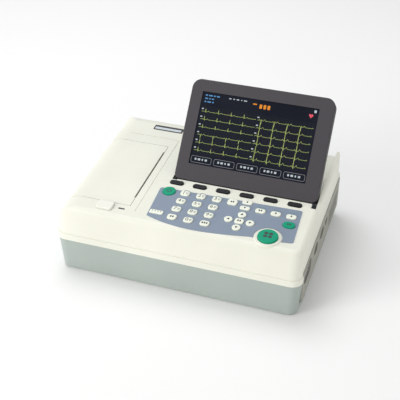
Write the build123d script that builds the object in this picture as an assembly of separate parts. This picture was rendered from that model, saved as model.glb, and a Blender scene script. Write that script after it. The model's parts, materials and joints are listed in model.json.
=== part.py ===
"""Bench ECG recorder: tilting display, chart printer, key deck and its insides. Millimetres, +Z up."""
from build123d import *
from math import atan, cos, degrees, pi, radians, sin, sqrt, tan
import os

# ---------------------------------------------------------------- driving dimensions
WIDTH = 316.0               # over the two sides, along X
DEPTH = 244.0               # front rim to rear face, along Y
FOOT_HEIGHT = 0.8           # the rubber feet lift the case by this much
PARTING = 48.0              # height of the joint between the two case halves
RIM_TOP = 58.0              # top of the upright band round the upper case
RIM_STEP = 0.8              # the body above the band stands in by this much
FRONT_INSET = 10.0          # the front face leans back this far up to the deck
FLANK_INSET = 2.4
REAR_INSET = 2.0
DECK_FRONT_Z = 92.1         # deck height at its front edge
DECK_SLOPE = 0.058          # rise of the deck per millimetre towards the rear
FRONT_CORNER = 14.0         # plan radius of the front corners
REAR_CORNER = 20.0
DECK_EDGE = 7.0             # rounding between the deck and the faces round it
SHOULDER = 24.0             # large rounding down the left side, over the printer
REAR_ROLL = 24.0            # the same over the rear edge
WALL = 3.0
LOWER_TAPER = 4.0           # degrees of draft of the lower case
LOWER_STEP = 0.6            # the lower case stands in under the band by this much
GROOVE = 0.8                # depth of the line round the band

LEFT, RIGHT = -WIDTH / 2, WIDTH / 2
FRONT, REAR = -DEPTH / 2, DEPTH / 2
DECK_FRONT_Y = FRONT + FRONT_INSET
SLOPE_DEG = degrees(atan(DECK_SLOPE))

# display
SCREEN_LEFT, SCREEN_RIGHT = -36.4, 150.0
SCREEN_HEIGHT = 132.0
BEZEL_DEPTH = 8.0
COVER_DEPTH = 10.5
SCREEN_BOTTOM = (-17.0, 98.1)       # y, z of the front lower edge of the panel
SCREEN_LEAN = 38.7                  # degrees back from upright at rest
SCREEN_PIVOT = (-14.2, 92.05)       # y, z of the tilt axis
GLASS_LEFT, GLASS_RIGHT = -21.0, 131.4
GLASS_LOW, GLASS_HIGH = 22.0, 116.5
RECESS_DEPTH = 19.0
RECESS_FRONT = -18.4
TUB_WALL = 2.5                      # wall of the tub that the folded display lies in
EAR_RADIUS, SMALL_EAR_RADIUS = 13.0, 7.0
EAR_LENGTH, SMALL_EAR_LENGTH = 4.0, 5.0
EAR_GAP = 0.6                       # room round the display's ears in the case
DISPLAY_GAP = 1.1                   # room at each side of the display in its recess
HINGE_PIN_R = 2.5
PIN_REACH, PIN_SINK = 10.0, 4.0     # into the case beside each ear, and past the display's side
PIN_FIT = 0.08                      # a pin turns in a hole larger in radius by this
HINGE_PINS = ((SCREEN_RIGHT - PIN_REACH, SCREEN_RIGHT + PIN_SINK), (SCREEN_LEFT - 3, SCREEN_LEFT + PIN_REACH))
LID_SKIN = 2.5

# printer
DOOR_FRONT, DOOR_REAR = -87.0, 47.0
DOOR_EDGE_X = -67.9                 # free edge of the door, beside the paper slot
DOOR_GAP = 0.7
DOOR_PIVOT = (-153.5, 63.5)         # x, z of the door's hinge pin
CHEEK = 3.0                         # thickness of the cheeks that carry the platen
CHEEK_BOSS_R = 5.6
SLOT_FRONT, SLOT_REAR = -70.0, 34.0     # ends of the paper slot
KNUCKLE_R = 4.3
LUG_CLEARANCE = 1.6                 # room round each lug of the case when the door swings
DOOR_PIN_R = 1.5
LUG_FRONTS = (-74.0, 26.0)          # front faces of the two hinge lugs
LUG_LENGTH = 8.0
PLATEN_AXIS = (-74.0, 81.5)
PLATEN_R = 8.0
PLATEN_SHAFT_R = 2.5
SHAFT_SET_IN = 1.4                  # the shaft stops short of the door's ends by this much
ROLL_AXIS = (-112.0, 57.0)
ROLL_R, ROLL_BORE_R = 24.0, 8.5
ROLL_FRONT, ROLL_REAR = -78.5, 31.5
GEAR_MODULE = 1.0
PLATEN_TEETH, PINION_TEETH = 20, 12
GEAR_FRONT, GEAR_WIDTH = 38.5, 4.5
GEAR_PLAY = 0.15                    # added to the distance between the gears' axes
MESH_DIRECTION = (0.29, -0.957)     # from the platen to the pinion, in X and Z
PINION_DISTANCE = GEAR_MODULE * (PLATEN_TEETH + PINION_TEETH) / 2 + GEAR_PLAY
PINION_AXIS = (PLATEN_AXIS[0] + MESH_DIRECTION[0] * PINION_DISTANCE,
               PLATEN_AXIS[1] + MESH_DIRECTION[1] * PINION_DISTANCE)
PINION_SHAFT_R, PINION_SHAFT_END = 1.5, 60.0
MOTOR_R, MOTOR_FRONT, MOTOR_REAR = 14.0, 54.0, 74.0
TRAY_FRONT, TRAY_REAR = -81.0, 34.0
TRAY_WALL, TRAY_TOP = 2.2, 74.0
HEAD_FRONT, HEAD_REAR = -77.0, 34.0
LATCH_SPOT = (-97.0, -96.0)
LATCH_LENGTH, LATCH_WIDTH = 21.0, 15.0
COVER_X, COVER_Y = -57.8, 66.0      # lines beside and behind the printer's cover
SEAM_WIDTH, SEAM_DEPTH = 0.9, 0.6

# keys, in X and Y on the deck
KEY_TRAVEL = 1.0
KEY_GAP = 0.4
KEY_RISE = 2.0
FLANGE = 1.0
DIGIT_COLUMNS = (-10.6, 10.2, 31.0)
DIGIT_ROWS = (-45.3, -61.5, -77.7, -93.8)
SOFT_KEY_FIRST, SOFT_KEY_PITCH, SOFT_KEY_Y = -28.3, 30.7, -26.2
ARROW_CENTRE = (69.2, -77.6)
ARROW_REACH_X, ARROW_REACH_Y = 13.6, 12.6
START_KEY = (109.6, -95.8)
START_R, START_RING_R = 12.2, 16.5
START_RISE = 3.4
KEY_STEM = 6.8                      # depth of a key's stem below the deck
KEY_EDGE = 0.9
SHEET = 0.5                         # thickness of the printed sheet round the keys
FLANGE_DEPTH = 4.3                  # depth of the flange's lower face

# side panel and sockets
PANEL_FRONT, PANEL_REAR = -108.0, 112.0
PANEL_LOW, PANEL_HIGH = 14.0, 62.0
PANEL_BACK = 154.3                  # plane that the side panel is screwed to
SOCKET_Z = 46.0
PATIENT_Y = -83.0
USB_Y, LAN_Y, SERIAL_Y, FAN_Y = -37.0, -2.0, 24.0, 72.0
SOCKET_SKIN = 0.6                   # sheet thickness of the small sockets' shells
PANEL_LEDGE = 6.0                   # the side panel rests on a ledge this wide
PANEL_SLOTS, PANEL_SLOT_PITCH = 8, 7.0

# fixings, underside and rear wall
SCREW_SPOTS = [(x, y) for x in (-138.0, 138.0) for y in (-104.0, 104.0)]
BOSS_R, SCREW_R, SCREW_LENGTH = 4.5, 1.5, 18.0
FOOT_SPOTS = [(x, y) for x in (-122.0, 122.0) for y in (-88.0, 88.0)]
FOOT_R = 8.0
BATTERY = (-45.0, 25.0, 22.0, 96.0)         # x and y range of the battery pack
BATTERY_TOP = 27.0
INLET_X, INLET_LENGTH = 100.0, 28.0
INLET_LOW, INLET_HIGH = 18.0, 39.0
STUD_X, STUD_Z, STUD_R = 70.0, 28.0, 3.0
REAR_SLOTS, REAR_SLOT_PITCH = 9, 9.0

# boards
BOARD = 1.6
MAIN_BOARD_Z = 22.0
CHIP_HEIGHT = 2.6
STANDOFF_R = 3.0
CHIPS = ((-20, -70, 24), (30, -60, 28), (80, -70, 20), (20, -20, 16), (70, -20, 22), (115, -30, 14))
SUPPLY = (38.0, 136.0, 20.0, 96.0)          # x and y range of the power supply
SUPPLY_TOP = 40.0
ABOVE = 130.0                               # a height clear above the case, for cutters


def deck_z(y, below=0.0):
    """Height of the deck plane at y, or of a plane the given depth below it."""
    return DECK_FRONT_Z + (y - DECK_FRONT_Y) * DECK_SLOPE - below / cos(radians(SLOPE_DEG))


def deck_plane(x, y, below=0.0):
    """Plane on the deck at x, y, with its normal square to the slope."""
    tilt = radians(SLOPE_DEG)
    return Plane(origin=(x, y, deck_z(y, below)), x_dir=(1, 0, 0), z_dir=(0, -sin(tilt), cos(tilt)))


def block(x0, x1, y0, y1, z0, z1):
    """Box between two corners."""
    return Pos((x0 + x1) / 2, (y0 + y1) / 2, (z0 + z1) / 2) * Box(x1 - x0, y1 - y0, z1 - z0)


def bar_x(y, z, r, x0, x1):
    """Round bar along X."""
    return Pos((x0 + x1) / 2, y, z) * Rot(0, 90, 0) * Cylinder(r, x1 - x0)


def bar_y(x, z, r, y0, y1):
    """Round bar along Y."""
    return Pos(x, (y0 + y1) / 2, z) * Rot(90, 0, 0) * Cylinder(r, y1 - y0)


def bar_z(x, y, r, z0, z1):
    """Round bar along Z."""
    return Pos(x, y, (z0 + z1) / 2) * Cylinder(r, z1 - z0)


def outline(x0, x1, y0, y1, front_r, rear_r, plane):
    """Rounded rectangle in plan: one radius at the two front corners and another at the rear."""
    with BuildSketch(plane) as sketch:
        with BuildLine():
            k = 1 - sqrt(0.5)
            Line((x0 + front_r, y0), (x1 - front_r, y0))
            ThreePointArc((x1 - front_r, y0), (x1 - front_r * k, y0 + front_r * k), (x1, y0 + front_r))
            Line((x1, y0 + front_r), (x1, y1 - rear_r))
            ThreePointArc((x1, y1 - rear_r), (x1 - rear_r * k, y1 - rear_r * k), (x1 - rear_r, y1))
            Line((x1 - rear_r, y1), (x0 + rear_r, y1))
            ThreePointArc((x0 + rear_r, y1), (x0 + rear_r * k, y1 - rear_r * k), (x0, y1 - rear_r))
            Line((x0, y1 - rear_r), (x0, y0 + front_r))
            ThreePointArc((x0, y0 + front_r), (x0 + front_r * k, y0 + front_r * k), (x0 + front_r, y0))
        make_face()
    return sketch.sketch


# ---------------------------------------------------------------- upper case
def upper_body(inset, edge):
    """Body above the band, standing in by inset; edge rounds the loop round the deck."""
    step = RIM_STEP + inset
    foot = outline(LEFT + step, RIGHT - step, FRONT + step, REAR - step,
                   FRONT_CORNER - inset, REAR_CORNER - inset, Plane.XY.offset(RIM_TOP - inset))
    y0 = DECK_FRONT_Y + inset
    y1 = REAR - REAR_INSET - inset
    top_plane = deck_plane(0, 0, inset)
    along = 1 / cos(radians(SLOPE_DEG))
    head = outline(LEFT + FLANK_INSET + inset, RIGHT - FLANK_INSET - inset, y0 * along, y1 * along,
                   FRONT_CORNER - 2 - inset, REAR_CORNER - 2 - inset, top_plane)
    body = loft([foot.face(), head.face()], ruled=True)
    if edge:
        deck = body.faces().sort_by(Axis.Z)[-1]
        body = fillet(deck.edges(), edge)
    # the left side rolls over into the deck with a much larger radius
    r = SHOULDER - inset
    x0 = LEFT + FLANK_INSET * 0.6 + inset
    z1 = deck_z(FRONT, inset)
    k = 1 - sqrt(0.5)
    with BuildSketch(Plane(origin=(0, FRONT, 0), x_dir=(1, 0, 0), z_dir=(0, -1, 0))) as profile:
        with BuildLine():
            Polyline((x0 - 3, 20), (RIGHT + 20, 20), (RIGHT + 20, z1), (x0 + r, z1))
            ThreePointArc((x0 + r, z1), (x0 + r * k, z1 - r * k), (x0, z1 - r))
            Line((x0, z1 - r), (x0 - 3, 20))
        make_face()
    shoulder = Solid.extrude(profile.sketch.face(), Vector(0, DEPTH, DEPTH * DECK_SLOPE))
    # and the deck rolls down into the rear face
    ahead = FRONT - 30
    rear_top = REAR - REAR_INSET - inset + 0.05
    with BuildSketch(Plane.YZ) as side:
        with BuildLine():
            Polyline((ahead, 20), (REAR - inset + 0.2, 20), (rear_top, deck_z(rear_top, inset)),
                     (ahead, deck_z(ahead, inset)), close=True)
        make_face()
        fillet(side.vertices().filter_by(lambda v: v.X > 0 and v.Y > 60), REAR_ROLL - inset)
    rolled = extrude(side.sketch, WIDTH, both=True)
    return body & shoulder & rolled


def rim_band(inset, z0, z1):
    """Upright band between the parting line and the leaning faces."""
    shape = outline(LEFT + inset, RIGHT - inset, FRONT + inset, REAR - inset,
                    FRONT_CORNER - inset, REAR_CORNER - inset, Plane.XY.offset(z0))
    return extrude(shape, z1 - z0)


def screen_plane(depth=0.0):
    """Plane of the screen's face, X along the panel and Y up it; depth moves it into the panel."""
    lean = radians(SCREEN_LEAN)
    normal = (0, -cos(lean), sin(lean))
    y, z = SCREEN_BOTTOM
    return Plane(origin=(0, y - normal[1] * depth, z - normal[2] * depth), x_dir=(1, 0, 0), z_dir=normal)


def deck_cut(x0, x1, y0, y1, above, below):
    """Block square to the deck slope, from a height above the deck to a depth below it."""
    mid_x, mid_y = (x0 + x1) / 2, (y0 + y1) / 2
    return deck_plane(mid_x, mid_y, (below - above) / 2) * Box(x1 - x0, y1 - y0, above + below)


def make_upper_case(keys):
    outer = rim_band(0, PARTING, RIM_TOP) + upper_body(0, DECK_EDGE)
    inner = upper_body(WALL, 0) + rim_band(WALL, PARTING - 1, RIM_TOP - WALL + 1)
    case = outer - inner
    side = RIGHT - 1
    # inner wall behind the side panel
    pad = block(PANEL_BACK - WALL, side, PANEL_FRONT - WALL, PANEL_REAR + WALL, PARTING, PANEL_HIGH + WALL)
    case += pad
    # tub that the folded display lies in, open to the rear
    tub_front = RECESS_FRONT - TUB_WALL
    tub_left = SCREEN_LEFT - DISPLAY_GAP - TUB_WALL
    tub = deck_cut(tub_left, side - 2, tub_front, REAR + 9, -1, RECESS_DEPTH + TUB_WALL)
    case += tub & outer
    right_ear, left_ear = SCREEN_RIGHT - EAR_LENGTH, SCREEN_LEFT + SMALL_EAR_LENGTH
    for x0, x1 in ((135, right_ear - 1.2), (left_ear + 0.8, -24)):
        case += block(x0, x1, tub_front, -6, 80, 96) & outer
    for x, y in SCREW_SPOTS:
        case += bar_z(x, y, BOSS_R, PARTING, ABOVE) & outer
    # hinge lugs of the printer door
    px, pz = DOOR_PIVOT
    door_front, door_rear = DOOR_FRONT - DOOR_GAP, DOOR_REAR + DOOR_GAP
    case -= block(LEFT - 5, DOOR_EDGE_X + DOOR_GAP, door_front, door_rear, RIM_TOP, ABOVE)
    for y in LUG_FRONTS:
        lug = bar_y(px, pz, KNUCKLE_R, y, y + LUG_LENGTH)
        foot = block(LEFT + 0.3, px + KNUCKLE_R, y, y + LUG_LENGTH, RIM_TOP - 4, pz - 1.5)
        case += lug + foot
    case -= bar_y(px, pz, DOOR_PIN_R, DOOR_FRONT - 1.5, DOOR_REAR + 1.5)
    # raised ring round the start key
    ring = deck_plane(*START_KEY) * Cylinder(START_RING_R, 2.4)
    case += chamfer(ring.edges().group_by(Axis.Z)[-1], 0.8)
    # cuts
    case -= block(PANEL_BACK, RIGHT + 5, PANEL_FRONT - 0.2, PANEL_REAR + 0.2, PARTING - 1, PANEL_HIGH + 0.2)
    case -= block(PANEL_BACK - 9, PANEL_BACK + 1, PANEL_FRONT + PANEL_LEDGE, PANEL_REAR - PANEL_LEDGE,
                  PARTING - 1, PANEL_HIGH - 5)
    recess_left, recess_right = SCREEN_LEFT - DISPLAY_GAP, SCREEN_RIGHT + DISPLAY_GAP
    case -= deck_cut(recess_left, recess_right, RECESS_FRONT, REAR + 20, 30, RECESS_DEPTH)
    y, z = SCREEN_PIVOT
    case -= bar_x(y, z, EAR_RADIUS + EAR_GAP, right_ear - EAR_GAP, recess_right)
    case -= bar_x(y, z, SMALL_EAR_RADIUS + EAR_GAP, recess_left, left_ear + EAR_GAP)
    for x0, x1 in HINGE_PINS:
        case -= bar_x(y, z, HINGE_PIN_R, x0, x1)
    for key in keys:
        case -= key_hole(key, 10)
    case -= latch_pocket()
    for x, y in SCREW_SPOTS:
        case -= bar_z(x, y, SCREW_R, PARTING - 1, PARTING + 20)
    # line round the printer's cover, beside the paper slot and behind the door
    case -= deck_cut(COVER_X - SEAM_WIDTH, COVER_X, LATCH_SPOT[1], COVER_Y, 1, SEAM_DEPTH)
    case -= deck_cut(LEFT + 30, COVER_X - SEAM_WIDTH, COVER_Y - SEAM_WIDTH, COVER_Y, 1, SEAM_DEPTH)
    # line round the top of the band
    case -= rim_band(-2, RIM_TOP - 1, RIM_TOP) - rim_band(GROOVE, RIM_TOP - 1, RIM_TOP)
    return case


# ---------------------------------------------------------------- keys
def key_table():
    """Every key: name, x, y, length along X, length along Y, corner radius."""
    keys = []
    names = ["key_1", "key_2", "key_3", "key_4", "key_5", "key_6", "key_7", "key_8", "key_9",
             "key_mode", "key_0", "key_enter"]
    for i, name in enumerate(names):
        keys.append((name, DIGIT_COLUMNS[i % 3], DIGIT_ROWS[i // 3], 11.6, 9.8, 3.4))
    for i in range(6):
        keys.append((f"soft_key_{i + 1}", SOFT_KEY_FIRST + SOFT_KEY_PITCH * i, SOFT_KEY_Y, 18.0, 7.2, 3.5))
    x, y = ARROW_CENTRE
    keys.append(("arrow_left", x - ARROW_REACH_X, y, 10.4, 10.4, 5.1))
    keys.append(("arrow_right", x + ARROW_REACH_X, y, 10.4, 10.4, 5.1))
    keys.append(("arrow_up", x, y + ARROW_REACH_Y, 10.4, 10.4, 5.1))
    keys.append(("arrow_down", x, y - ARROW_REACH_Y, 10.4, 10.4, 5.1))
    keys.append(("arrow_select", x, y, 11.0, 9.6, 3.0))
    keys.append(("key_menu", 50.9, -44.8, 12.4, 11.0, 3.4))
    keys.append(("key_lead", 68.8, -40.3, 12.6, 7.0, 2.6))
    keys.append(("key_gain", 68.8, -51.6, 12.6, 7.0, 2.6))
    for i, name in enumerate(["key_speed", "key_filter", "key_copy"]):
        keys.append((name, 88.3 + 19.3 * i, -51.4, 12.6, 8.2, 3.4))
    keys.append(("power_key", -31.6, -46.1, 16.6, 16.6, 8.2))
    keys.append(("feed_key", 127.9, -67.2, 15.0, 11.2, 5.5))
    keys.append(("start_key", START_KEY[0], START_KEY[1], 2 * START_R, 2 * START_R, START_R - 0.1))
    return keys


def key_hole(key, depth):
    """Cutter through the deck for one key."""
    name, x, y, length, width, r = key
    face = RectangleRounded(length + 2 * KEY_GAP, width + 2 * KEY_GAP, r + KEY_GAP)
    return deck_plane(x, y, depth / 2) * extrude(face, depth / 2 + 4)


def make_key(key):
    """Moulded key: domed cap, stem through the deck and a flange that keeps it in."""
    name, x, y, length, width, r = key
    rise = START_RISE if name == "start_key" else KEY_RISE
    cap = extrude(RectangleRounded(length, width, r), rise + KEY_STEM)
    cap = fillet(cap.edges().group_by(Axis.Z)[-1], KEY_EDGE)
    flange = extrude(RectangleRounded(length + 2 * FLANGE, width + 2 * FLANGE, r + FLANGE), 1.0)
    return deck_plane(x, y) * (Pos(0, 0, -KEY_STEM) * cap + Pos(0, 0, -FLANGE_DEPTH) * flange)


def make_overlay(keys):
    """Printed sheet round the keys, with a hollowed edge beside the start key."""
    with BuildSketch() as sketch:
        with BuildLine():
            Line((-44.8, -40.9), (137.4, -35.8))
            Line((137.4, -35.8), (140.4, -97.4))
            Line((140.4, -97.4), (124.2, -99.8))
            Line((124.2, -99.8), (88.0, -100.6))
            Spline((88.0, -100.6), (31.2, -108.6), (-10.0, -107.0), (-41.6, -98.6))
            Line((-41.6, -98.6), (-44.8, -40.9))
        make_face()
        fillet([v for v in sketch.vertices() if v.Y > -45 or v.X > 120], 3.0)
        with Locations(START_KEY):
            Circle(START_RING_R + 0.6, mode=Mode.SUBTRACT)
    sheet = extrude(sketch.sketch, SHEET).solids().sort_by(SortBy.VOLUME)[-1]
    # the outline is measured along the deck from the middle of the case
    sheet = deck_plane(0, 0) * sheet
    for key in keys:
        sheet -= key_hole(key, 2)
    return sheet


# ---------------------------------------------------------------- lower case
def lower_block(inset, z0, z1):
    """Tapered tray, its widest section at z1."""
    shrink = (PARTING - z1) * tan(radians(LOWER_TAPER)) + LOWER_STEP + inset
    shape = outline(LEFT + shrink, RIGHT - shrink, FRONT + shrink, REAR - shrink,
                    FRONT_CORNER - inset, REAR_CORNER - inset, Plane.XY.offset(z1))
    return extrude(shape, -(z1 - z0), taper=LOWER_TAPER)


def make_lower_case():
    outer = lower_block(0, FOOT_HEIGHT, PARTING)
    outer = fillet(outer.faces().sort_by(Axis.Z)[0].edges(), 2.5)
    pod = block(140, PANEL_BACK, PANEL_FRONT, PANEL_REAR, PANEL_LOW, PARTING)
    inner = lower_block(WALL, FOOT_HEIGHT + WALL, PARTING)
    inner += block(130, PANEL_BACK - WALL, PANEL_FRONT + WALL, PANEL_REAR - WALL, PANEL_LOW + WALL, PARTING)
    case = (outer + pod) - inner
    case -= block(PANEL_BACK, RIGHT + 1, PANEL_FRONT - 0.2, PANEL_REAR + 0.2, PANEL_LOW - 0.2, PARTING + 1)
    for x, y in SCREW_SPOTS:
        case += bar_z(x, y, BOSS_R, FOOT_HEIGHT + 1, PARTING)
        case -= bar_z(x, y, SCREW_R + 0.2, 0, PARTING + 1)
        case -= bar_z(x, y, SCREW_R + 1.6, 0, FOOT_HEIGHT + 4)
    case -= block(PANEL_BACK - 9, PANEL_BACK + 1, PANEL_FRONT + PANEL_LEDGE, PANEL_REAR - PANEL_LEDGE,
                  PANEL_LOW + PANEL_LEDGE, PARTING + 1)
    x0, x1, y0, y1 = BATTERY
    case -= block(x0 + 2, x1 - 2, y0 + 2, y1 - 2, 0, FOOT_HEIGHT + WALL + 1)
    # inlet and earth stud openings in the rear wall
    half = INLET_LENGTH / 2 + 0.2
    case -= block(INLET_X - half, INLET_X + half, REAR - 14, REAR + 1, INLET_LOW - 0.2, INLET_HIGH + 0.2)
    case -= bar_y(STUD_X, STUD_Z, 8, REAR - 14, REAR + 1)
    # cooling slots in the rear wall
    for i in range(REAR_SLOTS):
        x = -20 + REAR_SLOT_PITCH * i
        case -= block(x - 1.5, x + 1.5, REAR - 12, REAR + 1, 18, 38)
    for x, y in FOOT_SPOTS:
        case -= bar_z(x, y, FOOT_R, 0, FOOT_HEIGHT + 1)
    return case


def make_feet():
    feet = []
    for x, y in FOOT_SPOTS:
        pad = bar_z(x, y, FOOT_R, 0, FOOT_HEIGHT + 1)
        feet.append(chamfer(pad.edges().group_by(Axis.Z)[0], 0.4))
    return Compound(feet)


def make_screws():
    screws = []
    for x, y in SCREW_SPOTS:
        head = bar_z(x, y, SCREW_R + 1.4, FOOT_HEIGHT + 1.5, FOOT_HEIGHT + 4)
        slot = block(x - 2, x + 2, y - 0.4, y + 0.4, 0, FOOT_HEIGHT + 2.3)
        screws.append(head + bar_z(x, y, SCREW_R, FOOT_HEIGHT + 3, PARTING + SCREW_LENGTH) - slot)
    return Compound(screws)


def make_battery():
    x0, x1, y0, y1 = BATTERY
    pack = block(x0 + 3, x1 - 3, y0 + 3, y1 - 3, FOOT_HEIGHT + 3.2, BATTERY_TOP)
    return fillet(pack.edges().filter_by(Axis.Z), 3)


def make_battery_cover():
    x0, x1, y0, y1 = BATTERY
    lid = block(x0 + 2.3, x1 - 2.3, y0 + 2.3, y1 - 2.3, FOOT_HEIGHT, FOOT_HEIGHT + 3)
    lid = fillet(lid.edges().filter_by(Axis.Z), 2)
    # finger grooves
    for i in range(4):
        x = x0 + 17 + 9 * i
        lid -= block(x, x + 3, y1 - 26, y1 - 10, 0, FOOT_HEIGHT + 1)
    return lid


# ---------------------------------------------------------------- side panel and sockets
def panel_slot(y, z, length, height, x0, x1):
    """Cutter with round ends through the side panel."""
    face = Plane(origin=(x0, y, z), x_dir=(0, 1, 0), z_dir=(1, 0, 0)) * SlotOverall(length, height)
    return extrude(face, x1 - x0)


def make_side_panel():
    plate = block(PANEL_BACK, RIGHT, PANEL_FRONT, PANEL_REAR, PANEL_LOW, PANEL_HIGH)
    plate = fillet(plate.edges().filter_by(Axis.X), 5)
    plate = fillet(plate.faces().sort_by(Axis.X)[-1].edges(), 1.2)
    plate -= panel_slot(PATIENT_Y, SOCKET_Z, 38, 22, PANEL_BACK - 1, RIGHT + 1)
    for y, length in ((USB_Y, 20), (LAN_Y, 20), (SERIAL_Y, 14)):
        plate -= panel_slot(y, SOCKET_Z, length, 14 if length > 14 else 9, PANEL_BACK - 1, RIGHT + 1)
    for i in range(PANEL_SLOTS):
        plate -= panel_slot_upright(FAN_Y + PANEL_SLOT_PITCH * (i - (PANEL_SLOTS - 1) / 2))
    return plate


def panel_slot_upright(y):
    """One upright cooling slot."""
    face = Plane(origin=(PANEL_BACK - 1, y, 36), x_dir=(0, 0, 1), z_dir=(1, 0, 0)) * SlotOverall(26, 3.4)
    return extrude(face, 6)


def make_patient_connector():
    """Fifteen-way D socket: flange, metal shell and insulator with its contact holes."""
    face = PANEL_BACK - 0.4
    flange = block(face - 1.2, face, PATIENT_Y - 18, PATIENT_Y + 18, SOCKET_Z - 6.5, SOCKET_Z + 6.5)
    plane = Plane(origin=(face, PATIENT_Y, SOCKET_Z), x_dir=(0, 1, 0), z_dir=(1, 0, 0))
    shell = extrude(plane * RectangleRounded(25, 9.6, 2.4), 3.2)
    shell -= extrude(plane * RectangleRounded(23.6, 8.2, 1.8), 4)
    body = block(face - 11, face - 1.2, PATIENT_Y - 12, PATIENT_Y + 12, SOCKET_Z - 5.5, SOCKET_Z + 5.5)
    insulator = extrude(plane * RectangleRounded(22.4, 7.2, 1.6), 2.6)
    for i in range(8):
        insulator -= bar_x(PATIENT_Y - 9.7 + 2.77 * i, SOCKET_Z + 1.4, 0.6, face, face + 4)
    for i in range(7):
        insulator -= bar_x(PATIENT_Y - 8.3 + 2.77 * i, SOCKET_Z - 1.4, 0.6, face, face + 4)
    return flange + shell + body + insulator


def open_socket(y, z, length, height, depth):
    """Rectangular socket shell with an open mouth."""
    x1 = PANEL_BACK - 0.4
    shell = block(x1 - depth, x1, y - length / 2, y + length / 2, z - height / 2, z + height / 2)
    half_y, half_z = length / 2 - SOCKET_SKIN, height / 2 - SOCKET_SKIN
    return shell - block(x1 - depth + 1, x1 + 1, y - half_y, y + half_y, z - half_z, z + half_z)


def make_data_ports():
    usb = open_socket(USB_Y, SOCKET_Z, 14.4, 7.2, 13)
    x0, y0, y1 = PANEL_BACK - 12.4, USB_Y - 5.5, USB_Y + 5.5
    usb += block(x0, PANEL_BACK - 2.4, y0, y1, SOCKET_Z - 2.6, SOCKET_Z - 1.0)
    usb += block(x0, PANEL_BACK - 11, y0, y1, SOCKET_Z - 3.2, SOCKET_Z + 3.2)
    lan = open_socket(LAN_Y, SOCKET_Z, 16, 12, 14)
    serial = open_socket(SERIAL_Y, SOCKET_Z, 9.4, 6, 11)
    return Compound([usb, lan, serial])


def make_rear_connectors():
    """Mains inlet in its flange, and the earth stud beside it."""
    y0 = REAR - 3.2
    half = INLET_LENGTH / 2
    inlet = block(INLET_X - half, INLET_X + half, y0 - 18, y0, INLET_LOW, INLET_HIGH)
    inlet -= block(INLET_X - half + 2, INLET_X + half - 2, y0 - 15, y0 + 1, INLET_LOW + 2.5, INLET_HIGH - 2.5)
    for dx, z in ((-7, 27), (7, 27), (0, 31)):
        inlet += block(INLET_X + dx - 1, INLET_X + dx + 1, y0 - 15.5, y0 - 1, z - 2, z + 2)
    plate = bar_y(STUD_X, STUD_Z, 10, REAR - 10, REAR - 8.5)
    stud = bar_y(STUD_X, STUD_Z, STUD_R, REAR - 16, REAR)
    return Compound([inlet, stud + plate])


# ---------------------------------------------------------------- display
def panel_box(x0, x1, v0, v1, d0, d1):
    """Block in the display's own frame: X, height up the panel and depth behind its face."""
    w = d1 - d0
    return screen_plane(d0 + w / 2) * Pos((x0 + x1) / 2, (v0 + v1) / 2, 0) * Box(x1 - x0, v1 - v0, w)


def panel_blank(inset, d0, d1, edge):
    """Rounded slab of the display's outline; edge rounds the rim of its far face."""
    x0, x1 = SCREEN_LEFT + inset, SCREEN_RIGHT - inset
    v0, v1 = inset, SCREEN_HEIGHT - inset
    slab = extrude(outline(x0, x1, v0, v1, 7 - inset, 12 - inset, Plane.XY), -(d1 - d0))
    if edge > 0:
        slab = fillet(slab.faces().sort_by(Axis.Z)[0].edges(), edge)
    if edge < 0:
        slab = fillet(slab.faces().sort_by(Axis.Z)[-1].edges(), -edge)
    return screen_plane(d0) * slab


def make_bezel():
    bezel = panel_blank(0, 0, BEZEL_DEPTH, -1.4)
    bezel -= panel_blank(LID_SKIN, 3.0, BEZEL_DEPTH + 1, 0)
    mouth = extrude(RectangleRounded(GLASS_RIGHT - GLASS_LEFT, GLASS_HIGH - GLASS_LOW, 1.0), 6)
    middle = Pos((GLASS_LEFT + GLASS_RIGHT) / 2, (GLASS_LOW + GLASS_HIGH) / 2, -4)
    bezel -= screen_plane() * middle * mouth
    return bezel


def make_lcd():
    frame = panel_box(GLASS_LEFT - 3.2, GLASS_RIGHT + 3.2, GLASS_LOW - 3.2, GLASS_HIGH + 3.2, 3.1, 7.6)
    glass = panel_box(GLASS_LEFT + 0.3, GLASS_RIGHT - 0.3, GLASS_LOW + 0.3, GLASS_HIGH - 0.3, 1.2, 3.1)
    return frame + glass


def make_rear_cover():
    cover = panel_blank(0, BEZEL_DEPTH, BEZEL_DEPTH + COVER_DEPTH, 4.5)
    cover -= panel_blank(LID_SKIN, BEZEL_DEPTH - 1, BEZEL_DEPTH + COVER_DEPTH - LID_SKIN, 0)
    y, z = SCREEN_PIVOT
    back = BEZEL_DEPTH + COVER_DEPTH - 3
    for x0, x1, r in ((SCREEN_RIGHT - EAR_LENGTH, SCREEN_RIGHT, EAR_RADIUS),
                      (SCREEN_LEFT, SCREEN_LEFT + SMALL_EAR_LENGTH, SMALL_EAR_RADIUS)):
        ear = bar_x(y, z, r, x0, x1) + panel_box(x0, x1, -6, 16, BEZEL_DEPTH + 0.6, back)
        cover += ear - panel_box(x0 - 1, x1 + 1, 0, 30, -20, BEZEL_DEPTH)
    for x0, x1 in HINGE_PINS:
        cover -= bar_x(y, z, HINGE_PIN_R + PIN_FIT, x0, x1)
    for i in range(12):
        x = 20 + 6.5 * i
        cover -= panel_box(x - 1.2, x + 1.2, 96, 112, BEZEL_DEPTH + 5, 30)
    return cover


def make_display_pins():
    y, z = SCREEN_PIVOT
    return Compound([bar_x(y, z, HINGE_PIN_R, x0, x1) for x0, x1 in HINGE_PINS])


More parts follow.
